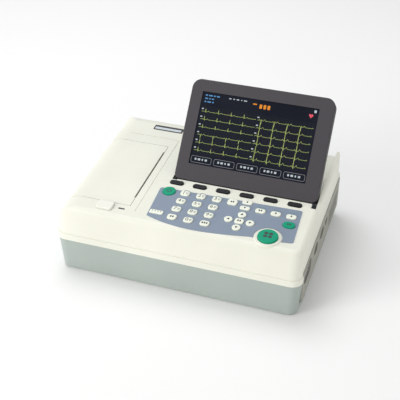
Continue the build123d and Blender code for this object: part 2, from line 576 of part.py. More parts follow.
# ---------------------------------------------------------------- printer
def make_door():
    """Shell over the paper bay, with the knuckle of its hinge and two cheeks that carry the platen."""
    px, pz = DOOR_PIVOT
    y0, y1 = DOOR_FRONT, DOOR_REAR
    region = block(LEFT - 5, DOOR_EDGE_X, y0, y1, pz, ABOVE)
    door = (upper_body(0, DECK_EDGE) & region) - upper_body(WALL, 0)
    door += bar_y(px, pz, KNUCKLE_R, y0, y1)
    cheek_x, cheek_z = PLATEN_AXIS
    for c0 in (y0 + 0.5, y1 - 0.5 - CHEEK):
        cheek = block(cheek_x - 10, DOOR_EDGE_X - 0.5, c0, c0 + CHEEK, cheek_z - 5, ABOVE)
        cheek += bar_y(cheek_x, cheek_z, CHEEK_BOSS_R, c0, c0 + CHEEK)
        door += cheek & upper_body(0.5, 0)
    door -= bar_y(cheek_x, cheek_z, PLATEN_SHAFT_R + PIN_FIT, y0 - 1, y1 + 1)
    for y in LUG_FRONTS:
        door -= bar_y(px, pz, KNUCKLE_R + LUG_CLEARANCE, y - 0.4, y + LUG_LENGTH + 0.4)
    door -= bar_y(px, pz, DOOR_PIN_R + PIN_FIT, y0 - 1, y1 + 1)
    # mouth of the paper slot
    door -= block(DOOR_EDGE_X - 1.6, DOOR_EDGE_X + 1, SLOT_FRONT, SLOT_REAR, cheek_z, ABOVE)
    return door


def make_door_pin():
    x, z = DOOR_PIVOT
    return bar_y(x, z, DOOR_PIN_R, DOOR_FRONT - 1.5, DOOR_REAR + 1.5)


def latch_pocket():
    """Hole in the deck for the door's release."""
    face = RectangleRounded(LATCH_LENGTH + 0.8, LATCH_WIDTH + 0.8, 3.9)
    return deck_plane(*LATCH_SPOT, 5) * extrude(face, 12)


def make_latch():
    """Push button that frees the door, with a flange under the deck."""
    cap = extrude(RectangleRounded(LATCH_LENGTH, LATCH_WIDTH, 3.5), 9.6)
    cap = fillet(cap.edges().group_by(Axis.Z)[-1], 1.2)
    flange = Pos(0, 0, 2.4) * extrude(RectangleRounded(LATCH_LENGTH + 3, LATCH_WIDTH - 0.5, 3), 1.2)
    return deck_plane(*LATCH_SPOT, 6.8) * (cap + flange)


def gear_blank(teeth, width, bore):
    """Spur gear in the XY plane, standing on Z = 0, from straight-sided teeth."""
    pitch_r = GEAR_MODULE * teeth / 2
    root_r = pitch_r - 1.2 * GEAR_MODULE
    tip_r = pitch_r + 0.9 * GEAR_MODULE
    points = []
    for i in range(teeth):
        for r, share in ((root_r, -0.34), (tip_r, -0.13), (tip_r, 0.13), (root_r, 0.34)):
            a = 2 * pi * (i + share) / teeth
            points.append((r * cos(a), r * sin(a)))
    wheel = extrude(make_face(Polyline(*points, close=True)), width)
    return wheel - Pos(0, 0, width / 2) * Cylinder(bore, width + 2)


def stand_gear(gear, axis, turn):
    """Put a gear on an axis along Y, turned by the given angle."""
    x, z = axis
    return Pos(x, GEAR_FRONT + GEAR_WIDTH, z) * Rot(90, 0, 0) * Rot(0, 0, turn) * gear


def make_platen():
    x, z = PLATEN_AXIS
    rear = GEAR_FRONT - 3
    return bar_y(x, z, PLATEN_R, -79, rear) - bar_y(x, z, PLATEN_SHAFT_R, -80, rear + 1)


def make_platen_gear():
    x, z = PLATEN_AXIS
    mesh_angle = degrees(atan(MESH_DIRECTION[1] / MESH_DIRECTION[0]))
    wheel = stand_gear(gear_blank(PLATEN_TEETH, GEAR_WIDTH, 1), PLATEN_AXIS, mesh_angle)
    return wheel + bar_y(x, z, PLATEN_SHAFT_R, DOOR_FRONT + SHAFT_SET_IN, DOOR_REAR - SHAFT_SET_IN)


def make_pinion():
    x, z = PINION_AXIS
    mesh_angle = degrees(atan(MESH_DIRECTION[1] / MESH_DIRECTION[0]))
    half_tooth = 180 / PINION_TEETH
    wheel = stand_gear(gear_blank(PINION_TEETH, GEAR_WIDTH, 1), PINION_AXIS, mesh_angle + 180 + half_tooth)
    return wheel + bar_y(x, z, PINION_SHAFT_R, GEAR_FRONT, PINION_SHAFT_END)


def make_motor():
    """Stepper motor on a plate behind the paper bay."""
    x, z = PINION_AXIS
    can = bar_y(x, z, MOTOR_R, MOTOR_FRONT, MOTOR_REAR)
    can = fillet(can.edges().group_by(Axis.Y)[-1], 1.5)
    plate_front = MOTOR_FRONT - 1.5
    ears = block(x - 21, x + 21, plate_front, MOTOR_FRONT, z - 5, z + 5)
    boss = bar_y(x, z, 4, plate_front - 1.5, plate_front)
    bore = bar_y(x, z, PINION_SHAFT_R + PIN_FIT, plate_front - 2.5, PINION_SHAFT_END + 2)
    return can + ears + boss - bore


def make_paper_roll():
    x, z = ROLL_AXIS
    bore = bar_y(x, z, ROLL_BORE_R, ROLL_FRONT - 1, ROLL_REAR + 1)
    return bar_y(x, z, ROLL_R, ROLL_FRONT, ROLL_REAR) - bore


def make_paper_tray():
    """Trough under the roll with two end walls, the hubs that the roll turns on, and feet."""
    x, z = ROLL_AXIS
    inner_r = ROLL_R + 3
    y0, y1 = TRAY_FRONT - TRAY_WALL, TRAY_REAR + TRAY_WALL
    outer = bar_y(x, z, inner_r + TRAY_WALL, y0, y1) & block(-150, -60, y0, y1, 20, z)
    outer += block(x - inner_r - TRAY_WALL, x + inner_r + TRAY_WALL, y0, y1, z, TRAY_TOP)
    tray = outer - bar_y(x, z, inner_r, TRAY_FRONT, TRAY_REAR)
    tray -= block(x - inner_r, x + inner_r, TRAY_FRONT, TRAY_REAR, z, TRAY_TOP + 1)
    for h0, h1 in ((TRAY_FRONT - 1, ROLL_FRONT + 6), (ROLL_REAR - 6, TRAY_REAR + 1)):
        tray += bar_y(x, z, ROLL_BORE_R - 0.1, h0, h1)
    for fx in (x - 20, x + 20):
        for fy in (y0 + 4, y1 - 4):
            tray += bar_z(fx, fy, 3, FOOT_HEIGHT + WALL, 40) - bar_y(x, z, inner_r + 1, y0, y1)
    return tray


def make_print_head():
    """Thermal head on its finned heat sink, upright beside the platen."""
    x = PLATEN_AXIS[0] + PLATEN_R + 0.3
    axis_z = PLATEN_AXIS[1]
    sink_low, leg = 60, 7
    head = block(x, x + 2, HEAD_FRONT, HEAD_REAR, axis_z - 9, axis_z + 5)
    head += block(x + 2, x + 6, HEAD_FRONT, HEAD_REAR, sink_low, axis_z + 4)
    for i in range(5):
        z = sink_low + 2 + 4.5 * i
        head -= block(x + 4, x + 8, HEAD_FRONT - 1, HEAD_REAR + 1, z, z + 2)
    for y in (HEAD_FRONT, HEAD_REAR - leg):
        head += block(x + 2, x + 6, y, y + leg, FOOT_HEIGHT + WALL, sink_low)
    return head


# ---------------------------------------------------------------- electronics
def make_key_board():
    """Board under the keys, notched for the screw boss at the front right."""
    board = deck_cut(-48, 142, -108.5, -22.8, -8.4, 8.4 + BOARD)
    return board - block(131, 145, -112, -97, 60, 100)


def make_main_board():
    top = MAIN_BOARD_Z + BOARD
    board = block(-46, 146, -99, 8, MAIN_BOARD_Z, top)
    for x, y, size in CHIPS:
        board += block(x - size / 2, x + size / 2, y - size / 2, y + size / 2, top, top + CHIP_HEIGHT)
    for x in (-42, 40, 132):
        for y in (-92, 2):
            board += bar_z(x, y, STANDOFF_R, FOOT_HEIGHT + WALL, MAIN_BOARD_Z)
    return board


def make_power_supply():
    x0, x1, y0, y1 = SUPPLY
    box = block(x0, x1, y0, y1, FOOT_HEIGHT + WALL, SUPPLY_TOP)
    box = fillet(box.edges().filter_by(Axis.Z), 2)
    for i in range(8):
        x = x0 + 8 + 10 * i
        box -= block(x, x + 5, y0 + 10, y1 - 10, SUPPLY_TOP - 1.2, SUPPLY_TOP + 1)
    return box


def main():
    os.makedirs("parts", exist_ok=True)
    keys = key_table()
    makers = {
        "lower_case": make_lower_case, "battery_pack": make_battery, "battery_cover": make_battery_cover,
        "rubber_feet": make_feet, "case_screws": make_screws, "side_panel": make_side_panel,
        "patient_connector": make_patient_connector, "data_ports": make_data_ports,
        "rear_connectors": make_rear_connectors, "display_bezel": make_bezel, "lcd_module": make_lcd,
        "display_rear_cover": make_rear_cover, "display_hinge_pins": make_display_pins,
        "printer_door": make_door, "door_hinge_pin": make_door_pin, "door_latch": make_latch,
        "platen_roller": make_platen,
        "platen_gear": make_platen_gear, "motor_pinion": make_pinion, "feed_motor": make_motor,
        "paper_roll": make_paper_roll, "paper_tray": make_paper_tray, "print_head": make_print_head,
        "key_board": make_key_board, "main_board": make_main_board, "power_supply": make_power_supply,
    }
    export_step(make_upper_case(keys), "parts/upper_case.step")
    export_step(make_overlay(keys), "parts/keypad_overlay.step")
    for name, maker in makers.items():
        export_step(maker(), f"parts/{name}.step")
    for key in keys:
        export_step(make_key(key), f"parts/{key[0]}.step")


main()
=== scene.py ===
import json
import math
import random

import bmesh
import bpy
import numpy as np
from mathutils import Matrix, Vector


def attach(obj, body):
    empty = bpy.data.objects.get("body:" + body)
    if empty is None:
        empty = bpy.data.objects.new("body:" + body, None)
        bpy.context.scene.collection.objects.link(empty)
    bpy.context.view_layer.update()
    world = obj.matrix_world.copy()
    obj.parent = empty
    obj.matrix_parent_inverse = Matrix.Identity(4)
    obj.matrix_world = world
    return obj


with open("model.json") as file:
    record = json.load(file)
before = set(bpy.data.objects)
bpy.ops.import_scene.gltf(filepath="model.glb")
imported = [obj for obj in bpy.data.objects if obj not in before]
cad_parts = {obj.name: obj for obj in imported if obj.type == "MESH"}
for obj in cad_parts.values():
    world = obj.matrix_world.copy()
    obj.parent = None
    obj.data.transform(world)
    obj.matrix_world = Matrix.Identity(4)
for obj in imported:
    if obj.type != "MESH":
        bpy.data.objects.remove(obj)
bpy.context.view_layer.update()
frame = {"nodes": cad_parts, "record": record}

MM = 0.001
DECK_RISE = 0.058                       # the deck climbs this much for each unit of depth
DECK_SLOPE = math.atan(DECK_RISE)
DECK_N = Vector((0, -math.sin(DECK_SLOPE), math.cos(DECK_SLOPE)))
DECK_UP = Vector((0, math.cos(DECK_SLOPE), math.sin(DECK_SLOPE)))
LEAN = math.radians(38.7)               # how far the screen leans back from upright
SCREEN_N = Vector((0, -math.cos(LEAN), math.sin(LEAN)))
SCREEN_UP = Vector((0, math.sin(LEAN), math.cos(LEAN)))
ACROSS = Vector((1, 0, 0))

DIGIT_KEYS = {"key_%d" % n: str(n) for n in range(10)}
# how far each arrow is turned anticlockwise from pointing up, in degrees
ARROWS = {"arrow_up": 0, "arrow_left": 90, "arrow_down": 180, "arrow_right": 270}

# print on a key starts just under its top and stands just over it, in millimetres
SUNK = -0.02
INK = 0.04

GRAIN_SCALE = 1800                      # grain of a spark-eroded mould
SHEEN_SCALE = 60                        # patches of duller and shinier plastic
CLOUD_SCALE = 14                        # slow drift of a plastic's colour
STREAK_SCALE = 900                      # drawn or cast marks in metal


# ---------------------------------------------------------------- materials
def shader(name, colour, roughness, **sockets):
    """A Principled material with its plain sockets set; returns it, its node tree and its surface node."""
    material = bpy.data.materials.new(name)
    material.use_nodes = True
    tree = material.node_tree
    surface = tree.nodes["Principled BSDF"]
    surface.inputs["Base Color"].default_value = (*colour, 1)
    surface.inputs["Roughness"].default_value = roughness
    for socket, value in sockets.items():
        surface.inputs[socket.replace("_", " ")].default_value = value
    return material, tree, surface


def noise(tree, scale, detail, rough=0.5, stretch=(1, 1, 1)):
    """Noise in object space; returns its factor socket."""
    place = tree.nodes.new("ShaderNodeTexCoord")
    mapping = tree.nodes.new("ShaderNodeMapping")
    mapping.inputs["Scale"].default_value = stretch
    texture = tree.nodes.new("ShaderNodeTexNoise")
    texture.inputs["Scale"].default_value = scale
    texture.inputs["Detail"].default_value = detail
    texture.inputs["Roughness"].default_value = rough
    tree.links.new(place.outputs["Object"], mapping.inputs["Vector"])
    tree.links.new(mapping.outputs["Vector"], texture.inputs["Vector"])
    return texture.outputs["Fac"]


def remap(tree, source, low, high, start=0.3, end=0.7):
    """Map a factor onto a range of values."""
    node = tree.nodes.new("ShaderNodeMapRange")
    node.inputs["From Min"].default_value = start
    node.inputs["From Max"].default_value = end
    node.inputs["To Min"].default_value = low
    node.inputs["To Max"].default_value = high
    tree.links.new(source, node.inputs["Value"])
    return node.outputs["Result"]


def blend_colour(tree, factor, first, second):
    """Mix two colours by a factor."""
    node = tree.nodes.new("ShaderNodeMix")
    node.data_type = "RGBA"
    node.inputs[6].default_value = (*first, 1)
    node.inputs[7].default_value = (*second, 1)
    tree.links.new(factor, node.inputs[0])
    return node.outputs[2]


def bump(tree, surface, height, distance, strength):
    """Bump from a height socket; its full height is distance, in metres."""
    node = tree.nodes.new("ShaderNodeBump")
    node.inputs["Strength"].default_value = strength
    node.inputs["Distance"].default_value = distance
    tree.links.new(height, node.inputs["Height"])
    tree.links.new(node.outputs["Normal"], surface.inputs["Normal"])


def uneven_sheen(tree, surface, roughness):
    """Let the roughness wander a little to either side of its value."""
    patch = noise(tree, SHEEN_SCALE, 5)
    tree.links.new(remap(tree, patch, roughness - 0.05, roughness + 0.07), surface.inputs["Roughness"])


def mould_grain(tree, surface, grain, depth):
    """Fine bumps left by a spark-eroded mould."""
    bump(tree, surface, noise(tree, grain, 2, 0.6), depth, 0.55)


def moulded(name, colour, roughness, grain=GRAIN_SCALE, depth=0.00006, shade=0.93, **sockets):
    """Moulded plastic: spark-eroded grain, cloudy colour and uneven sheen."""
    material, tree, surface = shader(name, colour, roughness, **sockets)
    cloud = noise(tree, CLOUD_SCALE, 3)
    tint = tuple(c * shade for c in colour)
    tree.links.new(blend_colour(tree, remap(tree, cloud, 0, 1), colour, tint), surface.inputs["Base Color"])
    uneven_sheen(tree, surface, roughness)
    mould_grain(tree, surface, grain, depth)
    return material


def metal(name, colour, roughness, stretch=(1, 1, 1)):
    """Metal with fine drawn or cast texture."""
    material, tree, surface = shader(name, colour, roughness, Metallic=1.0)
    streak = noise(tree, STREAK_SCALE, 3, 0.6, stretch)
    tree.links.new(remap(tree, streak, roughness - 0.08, roughness + 0.1), surface.inputs["Roughness"])
    tint = tuple(c * 0.85 for c in colour)
    tree.links.new(blend_colour(tree, remap(tree, streak, 0, 1), colour, tint), surface.inputs["Base Color"])
    bump(tree, surface, streak, 0.00002, 0.5)
    return material


def glowing(name, colour, strength):
    """Lit picture element of the display."""
    material, tree, surface = shader(name, tuple(c * 0.1 for c in colour), 0.35, Specular_IOR_Level=0.1)
    surface.inputs["Emission Strength"].default_value = strength
    flicker = noise(tree, 500, 2)
    dim = tuple(c * 0.75 for c in colour)
    tree.links.new(blend_colour(tree, remap(tree, flicker, 0, 1), colour, dim),
                   surface.inputs["Emission Color"])
    return material


CREAM = (0.835, 0.835, 0.745)
MATERIALS = {
    "case_cream": moulded("cream_abs", CREAM, 0.42),
    "latch_cream": moulded("latch_abs", (0.88, 0.88, 0.80), 0.34),
    "case_grey": moulded("grey_abs", (0.40, 0.455, 0.43), 0.5),
    # connector panel: the lower case's grey with painted shade, darker and browner than case_grey
    "panel_grey": moulded("panel_abs_painted_shade", (0.33, 0.335, 0.29), 0.5),
    "overlay_blue": moulded("printed_film", (0.225, 0.28, 0.37), 0.42,
                            grain=2600, depth=0.00003, shade=0.95),
    "display_shell": moulded("shell_abs", (0.012, 0.016, 0.018), 0.45,
                             depth=0.00005, Specular_IOR_Level=0.25),
    "key_cream": moulded("key_plastic", (0.87, 0.90, 0.79), 0.4, depth=0.00002),
    "key_green": moulded("green_plastic", (0.0, 0.34, 0.19), 0.34,
                         depth=0.00001, Specular_IOR_Level=0.22),
    "key_black": moulded("black_silicone", (0.010, 0.010, 0.013), 0.42,
                         depth=0.00002, Specular_IOR_Level=0.25),
    "rubber_black": moulded("rubber", (0.03, 0.03, 0.03), 0.7),
    "steel": metal("bright_steel", (0.6, 0.6, 0.61), 0.25),
    "gear_white": moulded("acetal", (0.8, 0.8, 0.76), 0.35),
    "gear_brass": metal("cut_brass", (0.75, 0.55, 0.25), 0.3),
    "motor_metal": moulded("motor_paint", (0.12, 0.12, 0.13), 0.4),
    "head_aluminium": metal("extruded_aluminium", (0.72, 0.72, 0.74), 0.32, (1, 0.02, 1)),
    "tray_grey": moulded("tray_abs", (0.12, 0.12, 0.13), 0.55),
    "paper_white": moulded("chart_paper", (0.88, 0.88, 0.86), 0.7,
                           grain=900, depth=0.00003, shade=0.97),
    "board_green": moulded("solder_mask", (0.02, 0.16, 0.07), 0.3),
    "supply_metal": metal("folded_sheet", (0.66, 0.66, 0.67), 0.38),
    "battery_wrap": moulded("shrink_wrap", (0.06, 0.06, 0.09), 0.3),
    "socket_nickel": metal("nickel_plate", (0.62, 0.62, 0.6), 0.25),
    "inlet_black": moulded("inlet_plastic", (0.02, 0.02, 0.02), 0.45),
}


def make_glass():
    """Black glossy face of the display, faintly lit from behind."""
    material, tree, surface = shader("lcd_glass", (0.004, 0.005, 0.008), 0.3, Specular_IOR_Level=0.1)
    surface.inputs["Emission Strength"].default_value = 1.0
    glow = noise(tree, 25, 2)
    tree.links.new(blend_colour(tree, remap(tree, glow, 0, 1), (0.004, 0.005, 0.010), (0.008, 0.009, 0.016)),
                   surface.inputs["Emission Color"])
    return material


def make_bezel_plastic():
    """Dark plastic of the display's front moulding, with painted shade: faces turned away from the screen
    are coloured darker than its front.
    """
    # the second colour is painted shade, a darker copy of the front colour blended in as a face turns away
    # from the screen
    front, side = (0.060, 0.055, 0.064), (0.020, 0.023, 0.024)
    roughness = 0.5
    material, tree, surface = shader("bezel_abs_painted_shade", front, roughness, Specular_IOR_Level=0.3)
    place = tree.nodes.new("ShaderNodeTexCoord")
    shade_by_facing = tree.nodes.new("ShaderNodeVectorMath")
    shade_by_facing.operation = "DOT_PRODUCT"
    shade_by_facing.inputs[1].default_value = SCREEN_N
    tree.links.new(place.outputs["Normal"], shade_by_facing.inputs[0])
    factor = remap(tree, shade_by_facing.outputs["Value"], 0, 1, 0.2, 0.7)
    tree.links.new(blend_colour(tree, factor, side, front), surface.inputs["Base Color"])
    uneven_sheen(tree, surface, roughness)
    mould_grain(tree, surface, GRAIN_SCALE, 0.00004)
    return material


MATERIALS["lcd_screen"] = make_glass()
MATERIALS["display_dark"] = make_bezel_plastic()
LEGEND = moulded("dark_print", (0.035, 0.045, 0.05), 0.5, depth=0.00001)
GREY_PRINT = moulded("grey_print", (0.20, 0.24, 0.26), 0.5, depth=0.00001)
PALE_PRINT = moulded("pale_print", (0.62, 0.68, 0.72), 0.45, depth=0.00001)

slots = {entry["node"]: entry["material_slot"] for entry in frame["record"]["subparts"]}
for node, obj in frame["nodes"].items():
    obj.data.materials.clear()
    obj.data.materials.append(MATERIALS[slots[node]])


# ---------------------------------------------------------------- mesh helpers
def add_piece(name, body, material, mesh_maker, bevel=0.0):
    """Make an object from a function that fills a bmesh, and put it on a body."""
    bm = bmesh.new()
    mesh_maker(bm)
    bmesh.ops.recalc_face_normals(bm, faces=bm.faces)
    mesh = bpy.data.meshes.new(name)
    bm.to_mesh(mesh)
    bm.free()
    piece = bpy.data.objects.new(name, mesh)
    bpy.context.scene.collection.objects.link(piece)
    mesh.materials.append(material)
    if bevel:
        modifier = piece.modifiers.new("edge", "BEVEL")
        modifier.width = bevel
        modifier.segments = 2
        modifier.limit_method = "ANGLE"
    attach(piece, body)
    return piece


def face_frame(node, normal, up):
    """Plane of a node's outermost face along normal: its centre, and half sizes across and up."""
    points = np.array([v.co for v in frame["nodes"][node].data.vertices])
    heights = points @ np.array(normal)
    top = points[heights > heights.max() - 0.05 * MM]
    across = top[:, 0]
    rise = top @ np.array(up)
    centre = ACROSS * float((across.min() + across.max()) / 2) + up * float((rise.min() + rise.max()) / 2)
    centre += normal * float(heights.max())
    return centre, float(across.max() - across.min()) / 2, float(rise.max() - rise.min()) / 2


class Pad:
    """A flat place to draw on: origin, X across, Y up the face, Z out of it, in millimetres."""

    def __init__(self, origin, up, normal):
        self.origin, self.up, self.normal = origin, up, normal

    def at(self, x, y, z):
        return self.origin + ACROSS * (x * MM) + self.up * (y * MM) + self.normal * (z * MM)


def prism(bm, pad, outline, z0, z1):
    """Closed prism from a list of x, y points in millimetres."""
    low = [bm.verts.new(pad.at(x, y, z0)) for x, y in outline]
    high = [bm.verts.new(pad.at(x, y, z1)) for x, y in outline]
    bm.faces.new(low)
    bm.faces.new(high)
    count = len(outline)
    for i in range(count):
        j = (i + 1) % count
        bm.faces.new((low[i], low[j], high[j], high[i]))


def rounded(x, y, width, height, radius, steps=6):
    """Outline of a rounded rectangle about x, y."""
    points = []
    for quarter, (sx, sy) in enumerate(((1, 1), (-1, 1), (-1, -1), (1, -1))):
        cx, cy = x + sx * (width / 2 - radius), y + sy * (height / 2 - radius)
        for i in range(steps + 1):
            a = math.pi / 2 * (quarter + i / steps)
            points.append((cx + radius * math.cos(a), cy + radius * math.sin(a)))
    return points


def ribbon(bm, pad, points, width, z0, z1):
    """Raised line of constant width through x, y points."""
    rings = []
    for i, (x, y) in enumerate(points):
        a = points[max(i - 1, 0)]
        b = points[min(i + 1, len(points) - 1)]
        dx, dy = b[0] - a[0], b[1] - a[1]
        length = math.hypot(dx, dy) or 1.0
        nx, ny = -dy / length * width / 2, dx / length * width / 2
        rings.append([bm.verts.new(pad.at(x + s * nx, y + s * ny, z)) for s, z in
                      ((1, z0), (1, z1), (-1, z1), (-1, z0))])
    for first, second in zip(rings, rings[1:]):
        for i in range(4):
            j = (i + 1) % 4
            bm.faces.new((first[i], first[j], second[j], second[i]))
    bm.faces.new(rings[0])
    bm.faces.new(rings[-1])


def glyph(bm, pad, text, size, x, y, z0, z1):
    """Solid figure from the built-in typeface, centred on x, y."""
    curve = bpy.data.curves.new("figure", "FONT")
    curve.body = text
    curve.size = size
    curve.align_x = "CENTER"
    curve.align_y = "CENTER"
    curve.extrude = (z1 - z0) / 2
    curve.resolution_u = 3
    holder = bpy.data.objects.new("figure", curve)
    mesh = bpy.data.meshes.new_from_object(holder)
    bpy.data.objects.remove(holder)
    first = len(bm.verts)
    bm.from_mesh(mesh)
    bpy.data.meshes.remove(mesh)
    bm.verts.ensure_lookup_table()
    for vert in bm.verts[first:]:
        vert.co = pad.at(vert.co.x + x, vert.co.y + y, vert.co.z + (z0 + z1) / 2)


# ---------------------------------------------------------------- legends on the keys
DIGIT_SIZE, DIGIT_PLACE = 8.2, (-1.7, 0.2)
SECOND_MARK_PLACE = (2.8, 1.0)
SECOND_MARK_ROWS = (3.4, 2.6)           # lengths of the two rows of small print beside a digit
SECOND_MARK_PITCH, SECOND_MARK_TALL = 2.0, 1.0
ARROW_REACH = 2.3
ARROW_CORNERS = (0, 128, 232)           # the tip and the two tail corners, in degrees round the middle
BAR_PITCH, BAR_WIDE, BAR_TALL = 2.7, 1.8, 3.0
WORD_BARS = {"key_mode": 2, "key_enter": 3, "key_menu": 2, "key_lead": 1, "key_gain": 1, "key_speed": 2,
             "key_filter": 1, "key_copy": 1, "arrow_select": 2, "feed_key": 2}
LEAF_REACH, LEAF_SIZE, LEAF_RISE = (2.9, 2.7), (4.8, 4.4), 1.2
RING_R, RING_RISE, RING_LINE = 3.0, 0.4, 0.9
RING_OPENING = 0.6                      # half of the gap at the ring's top, in radians
RING_STROKE = [(0, 0.8), (0, 4.4)]


def key_pad(node):
    """Pad on a key's top, and half of the top's depth in millimetres."""
    centre, _, half_depth = face_frame(node, DECK_N, DECK_UP)
    return Pad(centre, DECK_UP, DECK_N), half_depth / MM


def add_legend(node, draw, prefix="legend_", ink=LEGEND):
    """Print on a key's top; it moves with the key."""
    add_piece(prefix + node, node + "_body", ink, draw)


def add_legends():
    for node, digit in DIGIT_KEYS.items():
        pad, _ = key_pad(node)

        def figure(bm):
            glyph(bm, pad, digit, DIGIT_SIZE, *DIGIT_PLACE, SUNK, INK)

        def second_mark(bm):
            x, y = SECOND_MARK_PLACE
            for row, length in enumerate(SECOND_MARK_ROWS):
                outline = rounded(x, y - SECOND_MARK_PITCH * row, length, SECOND_MARK_TALL, 0.35, 2)
                prism(bm, pad, outline, SUNK, INK)
        add_legend(node, figure)
        add_legend(node, second_mark, "second_mark_", GREY_PRINT)

    for node, angle in ARROWS.items():
        pad, _ = key_pad(node)
        turns = [math.radians(angle + 90) + math.radians(a) for a in ARROW_CORNERS]
        corners = [(ARROW_REACH * math.cos(turn), ARROW_REACH * math.sin(turn)) for turn in turns]
        add_legend(node, lambda bm: prism(bm, pad, corners, SUNK, INK))

    for node, bars in WORD_BARS.items():
        pad, half_depth = key_pad(node)

        def word(bm):
            for i in range(bars):
                x = (i - (bars - 1) / 2) * BAR_PITCH
                prism(bm, pad, rounded(x, 0.2, BAR_WIDE, min(BAR_TALL, half_depth), 0.5, 3), SUNK, INK)
        add_legend(node, word)

    start_pad, _ = key_pad("start_key")

    def leaves(bm):
        for sx in (-1, 1):
            for sy in (-1, 1):
                x, y = sx * LEAF_REACH[0], sy * LEAF_REACH[1] + LEAF_RISE
                prism(bm, start_pad, rounded(x, y, *LEAF_SIZE, 1.7), SUNK, INK)
    add_legend("start_key", leaves)

    power_pad, _ = key_pad("power_key")

    def power_mark(bm):
        arc = [(RING_R * math.sin(a), RING_R * math.cos(a) + RING_RISE)
               for a in np.linspace(RING_OPENING, 2 * math.pi - RING_OPENING, 28)]
        ribbon(bm, power_pad, arc, RING_LINE, SUNK, INK)
        ribbon(bm, power_pad, RING_STROKE, RING_LINE, SUNK, INK)
    add_legend("power_key", power_mark)


# ---------------------------------------------------------------- picture on the display
# places on the screen are in millimetres from its middle
HEAD_TALL, TABS_TALL = 19, 14           # bands over and under the traces
LEADS = 6                               # traces in each of the two columns
BASELINE = 0.62                         # of a lead's row, from its top down
BEAT_LENGTH = 17.0
COLUMN_GAINS = (5.2, 9.5)               # height of a beat in the left and the right column
INVERTED_LEADS = ((0, 3), (1, 0))       # column and row of the leads whose beat points down
TRACE_STEPS, TRACE_LINE = 420, 0.42
GRID_COLUMNS, GRID_ROWS, GRID_LINE = 36, 24, 0.2
TAB_COUNT = 5
TAB_WORDS = (2.4, 3.4, 1.8, 3.0)
HEAD_WORDS = (3.0, 2.2, 3.4, 1.6, 4.2)
BLUE_LINES = ((3, 5, 2.4, 4), (4, 2, 3), (2.4, 5, 2))

# how far each layer of the picture stands over the glass, so that no two layers share a face
GRID_HIGH, MARK_HIGH, TRACE_HIGH, LABEL_HIGH, TAB_MARK_HIGH = 0.03, 0.05, 0.06, 0.07, 0.08
HEART_HIGH = 0.055

# waves of one heart beat: moment and width as parts of the beat, and height beside the main wave's
BEAT = ((0.18, 0.035, 0.12), (0.285, 0.008, -0.12), (0.31, 0.011, 1.0), (0.34, 0.010, -0.3),
        (0.55, 0.05, 0.22))
INVERTED_BEAT = BEAT[:2] + ((0.31, 0.011, -0.8), (0.335, 0.009, 0.25)) + BEAT[4:]

GLOWS = (("trace", (0.42, 0.50, 0.16), 1.0), ("grid", (0.032, 0.036, 0.036), 1.0),
         ("label", (0.55, 0.62, 0.66), 0.9), ("blue", (0.12, 0.32, 0.6), 0.9),
         ("orange", (0.8, 0.28, 0.03), 1.0), ("red", (0.75, 0.10, 0.14), 1.0),
         ("tab", (0.30, 0.31, 0.33), 0.8))


def beat(phase, size, waves):
    """Height of a heart beat at a phase from 0 to 1."""
    return size * sum(height * math.exp(-((phase - moment) / width) ** 2) for moment, width, height in waves)


